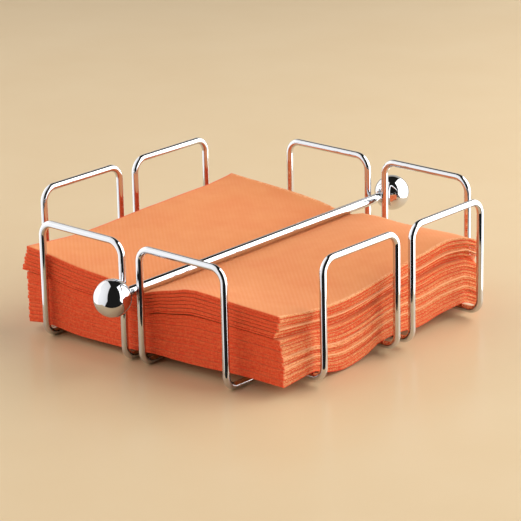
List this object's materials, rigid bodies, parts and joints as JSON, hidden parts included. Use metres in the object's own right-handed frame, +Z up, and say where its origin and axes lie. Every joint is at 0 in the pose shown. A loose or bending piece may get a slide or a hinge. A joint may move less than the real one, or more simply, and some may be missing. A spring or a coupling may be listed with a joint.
{
  "type": "napkin holder",
  "caption": "Square chromed wire napkin holder with upright loops on each side, a loose weight bar with ball ends, and a stack of folded paper napkins held under the bar.",
  "frame": {"origin": "centre of the wire base, on the table", "axes": "+Z up; Y along the weight bar, with the front at -Y; X across the bar, with the right side at +X"},
  "size_m": [0.1854, 0.226, 0.0638],
  "materials": {
    "chrome": "polished",
    "napkin_paper": "matte"
  },
  "bodies": {
    "frame": {"ring_left": "chrome", "ring_right": "chrome", "ring_front": "chrome", "ring_back": "chrome"},
    "napkins": {"napkin_01": "napkin_paper", "napkin_02": "napkin_paper", "napkin_03": "napkin_paper", "napkin_04": "napkin_paper", "napkin_05": "napkin_paper", "napkin_06": "napkin_paper", "napkin_07": "napkin_paper", "napkin_08": "napkin_paper", "napkin_09": "napkin_paper", "napkin_10": "napkin_paper", "napkin_11": "napkin_paper", "napkin_12": "napkin_paper", "napkin_13": "napkin_paper", "napkin_14": "napkin_paper", "napkin_15": "napkin_paper", "napkin_16": "napkin_paper", "napkin_17": "napkin_paper", "napkin_18": "napkin_paper", "napkin_19": "napkin_paper", "napkin_20": "napkin_paper"},
    "bar": {"bar_rod": "chrome", "front_ball": "chrome", "back_ball": "chrome"}
  },
  "joints": [
    {"name": "napkin_lift", "type": "slide", "parent": "frame", "child": "napkins", "axis": [0, 0, 1], "range_m": [0, 0.075]},
    {"name": "bar_lift", "type": "slide", "parent": "napkins", "child": "bar", "axis": [0, 0, 1], "range_m": [0, 0.04]}
  ]
}
